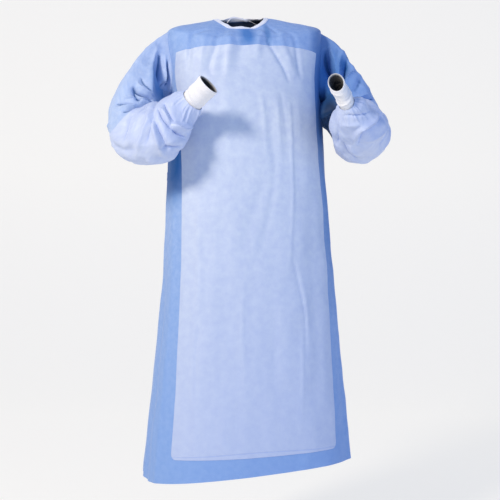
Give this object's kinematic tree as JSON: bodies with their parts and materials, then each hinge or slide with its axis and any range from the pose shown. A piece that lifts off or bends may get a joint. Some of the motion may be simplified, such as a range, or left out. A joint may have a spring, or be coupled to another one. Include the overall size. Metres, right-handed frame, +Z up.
{
  "type": "surgical gown",
  "caption": "Reinforced surgical gown, hollow as if worn: long blue body, paler front and lower sleeves, knitted cuffs, bound neck, overlapping back.",
  "frame": {"origin": "midway between the high points of the shoulders, where the wearer holds the gown up", "axes": "+Z up from hem to neck, -Y the way the wearer faces, +X the wearer's left"},
  "size_m": [0.7443, 0.4901, 1.2403],
  "materials": {
    "body_cloth": "matt blue spun-bonded non-woven",
    "reinforced_cloth": "smooth pale blue laminated non-woven with a faint sheen",
    "cuff_knit": "white rib knit",
    "binding": "white folded tape"
  },
  "bodies": {
    "root": {"front": "body_cloth", "left_back": "body_cloth", "right_back": "body_cloth", "front_reinforcement": "reinforced_cloth", "left_sleeve": "body_cloth", "right_sleeve": "body_cloth", "left_lower_sleeve": "reinforced_cloth", "right_lower_sleeve": "reinforced_cloth", "left_cuff": "cuff_knit", "right_cuff": "cuff_knit", "neck_binding": "binding", "waist_tie": "body_cloth", "neck_closure_tab": "binding"}
  },
  "joints": []
}
